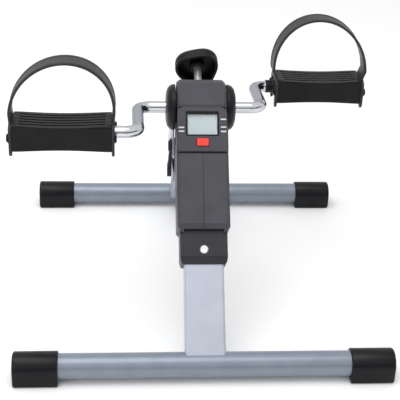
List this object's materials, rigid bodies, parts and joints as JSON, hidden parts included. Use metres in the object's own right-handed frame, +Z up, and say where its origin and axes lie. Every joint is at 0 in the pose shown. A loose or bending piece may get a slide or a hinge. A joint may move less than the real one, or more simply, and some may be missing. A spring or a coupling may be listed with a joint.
{
  "type": "pedal exerciser",
  "caption": "Folding mini pedal exerciser: bent crank, strapped pedals, display console, tension knob, X-shaped frame on capped floor tubes.",
  "frame": {"origin": "on the floor, midway between the two floor tubes and on the centre plane", "axes": "+X to the user's right, +Y away from the user, +Z up; the crank axis lies along X"},
  "size_m": [0.3831, 0.404, 0.2952],
  "materials": {
    "tube_silver": "satin silver paint",
    "leg_silver": "satin silver paint",
    "cap_black": "satin moulded plastic",
    "housing_black": "fine texture",
    "console_black": "fine texture",
    "bezel_black": "gloss",
    "window_clear": "clear",
    "display_grey": "liquid crystal cell",
    "board_green": "circuit board",
    "legend_white": "printed ink",
    "button_red": "satin",
    "chrome": "polished",
    "zinc_steel": "zinc plated",
    "raw_steel": "plain",
    "bronze": "sintered",
    "nylon": "natural nylon",
    "pedal_black": "moulded",
    "strap_rubber": "soft, satin",
    "felt": "friction pad",
    "knob_black": "moulded",
    "magnet": "plain"
  },
  "bodies": {
    "front_frame": {"front_floor_tube": "tube_silver", "front_cap_left": "cap_black", "front_cap_right": "cap_black", "front_leg": "leg_silver", "leg_collar": "cap_black", "collar_screw": "chrome", "hub_bracket": "raw_steel", "bracket_bolts": "zinc_steel", "pivot_sleeves": "raw_steel", "pivot_washers": "nylon", "crank_bushes": "bronze", "housing_left": "housing_black", "housing_right": "housing_black", "housing_screws": "zinc_steel", "console_panel": "console_black", "console_legend": "legend_white", "display_bezel": "bezel_black", "display_window": "window_clear", "display_cell": "display_grey", "circuit_board": "board_green", "button_cell": "zinc_steel", "reed_sensor": "pedal_black", "tension_bushing": "bronze", "lock_bolt": "zinc_steel", "lock_nut": "zinc_steel"},
    "rear_frame": {"rear_floor_tube": "tube_silver", "rear_cap_left": "cap_black", "rear_cap_right": "cap_black", "rear_leg": "leg_silver", "rear_leg_plug": "cap_black", "fork_plate_left": "leg_silver", "fork_plate_right": "leg_silver", "fork_bolts": "zinc_steel", "side_cover_left": "cap_black", "side_cover_right": "cap_black"},
    "crank": {"crank_rod": "chrome", "friction_drum": "raw_steel", "sensor_magnet": "magnet", "spindle_sleeve": "pedal_black", "left_pedal_clip": "zinc_steel", "right_pedal_clip": "zinc_steel"},
    "pedal_left": {"left_pedal": "pedal_black", "left_pedal_ends": "pedal_black", "left_pedal_bushes": "nylon", "left_strap": "strap_rubber"},
    "pedal_right": {"right_pedal": "pedal_black", "right_pedal_ends": "pedal_black", "right_pedal_bushes": "nylon", "right_strap": "strap_rubber"},
    "brake": {"brake_shoe": "raw_steel", "brake_pad": "felt"},
    "knob": {"tension_stud": "chrome", "tension_knob": "knob_black"},
    "button": {"reset_button": "button_red"},
    "lever": {"lock_lever": "zinc_steel", "lever_grip": "strap_rubber"}
  },
  "joints": [
    {"name": "crank_spin", "type": "hinge", "parent": "front_frame", "child": "crank", "pos_m": [0, -0.005, 0.213], "axis": [1, 0, 0], "continuous": true},
    {"name": "left_pedal_spin", "type": "hinge", "parent": "crank", "child": "pedal_left", "pos_m": [-0.139, -0.0906, 0.22124], "axis": [1, 0, 0], "continuous": true},
    {"name": "right_pedal_spin", "type": "hinge", "parent": "crank", "child": "pedal_right", "pos_m": [0.139, 0.0806, 0.20476], "axis": [1, 0, 0], "continuous": true},
    {"name": "rear_leg_fold", "type": "hinge", "parent": "front_frame", "child": "rear_frame", "pos_m": [0, -0.005, 0.213], "axis": [1, 0, 0], "range_deg": [-66, 0]},
    {"name": "lock_lever_turn", "type": "hinge", "parent": "front_frame", "child": "lever", "pos_m": [0, -0.01085, 0.17141], "axis": [1, 0, 0], "range_deg": [0, 100]},
    {"name": "brake_slide", "type": "slide", "parent": "front_frame", "child": "brake", "axis": [0, 0.9397, 0.342], "range_m": [-0.0012, 0]},
    {"name": "tension_knob_turn", "type": "hinge", "parent": "brake", "child": "knob", "pos_m": [0, -0.005, 0.213], "axis": [0, 0.9397, 0.342], "range_deg": [-345, 0]},
    {"name": "reset_press", "type": "slide", "parent": "front_frame", "child": "button", "axis": [0, 0.7838, -0.621], "range_m": [0, 0.0008], "stiffness_N_per_m": 400, "springref_m": -0.001}
  ],
  "couplings": [
    {"joint": "tension_knob_turn", "follows": "brake_slide", "rad_per_m": 5026.5}
  ]
}
